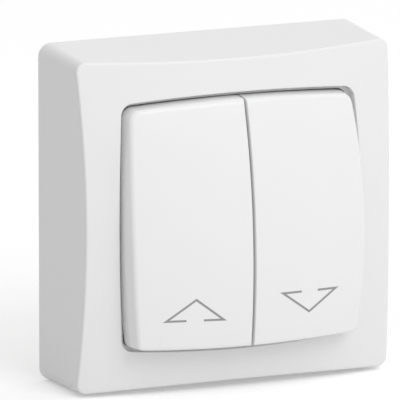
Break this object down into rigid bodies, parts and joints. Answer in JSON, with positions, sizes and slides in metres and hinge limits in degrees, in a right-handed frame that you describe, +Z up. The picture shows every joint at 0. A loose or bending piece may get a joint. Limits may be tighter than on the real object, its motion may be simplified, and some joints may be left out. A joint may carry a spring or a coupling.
{
  "type": "roller shutter switch",
  "caption": "Square surface-mounted shutter switch: domed white cover, tilting rockers for up and down, snap contacts, clamp terminals and a slotted wall base with cable entries.",
  "frame": {"origin": "middle of the base plate's back, on the wall plane, midway between the wall screw slots", "axes": "+Y into the wall, +Z up along the rockers, +X to the right as seen from the room"},
  "size_m": [0.08, 0.0343, 0.08],
  "materials": {
    "frame_plastic": "smooth, glossy white moulding",
    "rocker_plastic": "smooth, glossy white moulding",
    "base_plastic": "plain off-white moulding",
    "housing_plastic": "pale grey heat-resistant moulding",
    "cover_plastic": "pale grey moulding",
    "strip_brass": "stamped strip",
    "clamp_brass": "machined block",
    "arm_brass": "stamped strip",
    "contact_silver": "silver alloy, fine ground",
    "screw_steel": "zinc-plated steel",
    "spring_steel": "drawn spring wire",
    "carrier_plastic": "white low-friction moulding",
    "plunger_plastic": "natural low-friction moulding"
  },
  "bodies": {
    "switch_body": {"outer_frame": "frame_plastic", "base_plate": "base_plastic", "mechanism_housing": "housing_plastic", "mechanism_cover": "cover_plastic", "live_rail": "strip_brass", "link_strip": "strip_brass", "up_strip": "strip_brass", "down_strip": "strip_brass", "fixed_tips": "contact_silver", "terminal_screws": "screw_steel", "mechanism_screws": "screw_steel", "live_clamp": "clamp_brass", "loop_clamp": "clamp_brass", "up_clamp": "clamp_brass", "down_clamp": "clamp_brass"},
    "left_key": {"left_rocker": "rocker_plastic", "left_carrier": "carrier_plastic", "left_spring": "spring_steel"},
    "left_pin": {"left_plunger": "plunger_plastic"},
    "left_contact": {"left_contact_arm": "arm_brass", "left_moving_tips": "contact_silver"},
    "right_key": {"right_rocker": "rocker_plastic", "right_carrier": "carrier_plastic", "right_spring": "spring_steel"},
    "right_pin": {"right_plunger": "plunger_plastic"},
    "right_contact": {"right_contact_arm": "arm_brass", "right_moving_tips": "contact_silver"}
  },
  "joints": [
    {"name": "left_rocker_tilt", "type": "hinge", "parent": "switch_body", "child": "left_key", "pos_m": [-0.01489, -0.024, 0], "axis": [1, 0, 0], "range_deg": [0, 9.4]},
    {"name": "left_contact_tilt", "type": "hinge", "parent": "switch_body", "child": "left_contact", "pos_m": [-0.01489, -0.0105, 0], "axis": [1, 0, 0], "range_deg": [-12.05, 0]},
    {"name": "left_plunger_slide", "type": "slide", "parent": "left_key", "child": "left_pin", "axis": [0, -0.9966, 0.0819], "range_m": [0, 0.0006], "stiffness_N_per_m": 200, "springref_m": -0.002, "deforming": ["left_spring"]},
    {"name": "right_rocker_tilt", "type": "hinge", "parent": "switch_body", "child": "right_key", "pos_m": [0.01489, -0.024, 0], "axis": [1, 0, 0], "range_deg": [0, 9.4]},
    {"name": "right_contact_tilt", "type": "hinge", "parent": "switch_body", "child": "right_contact", "pos_m": [0.01489, -0.0105, 0], "axis": [1, 0, 0], "range_deg": [-12.05, 0]},
    {"name": "right_plunger_slide", "type": "slide", "parent": "right_key", "child": "right_pin", "axis": [0, -0.9966, 0.0819], "range_m": [0, 0.0006], "stiffness_N_per_m": 200, "springref_m": -0.002, "deforming": ["right_spring"]}
  ],
  "couplings": [
    {"joint": "left_contact_tilt", "follows": "left_rocker_tilt", "ratio": -1.2766},
    {"joint": "right_contact_tilt", "follows": "right_rocker_tilt", "ratio": -1.2766}
  ]
}
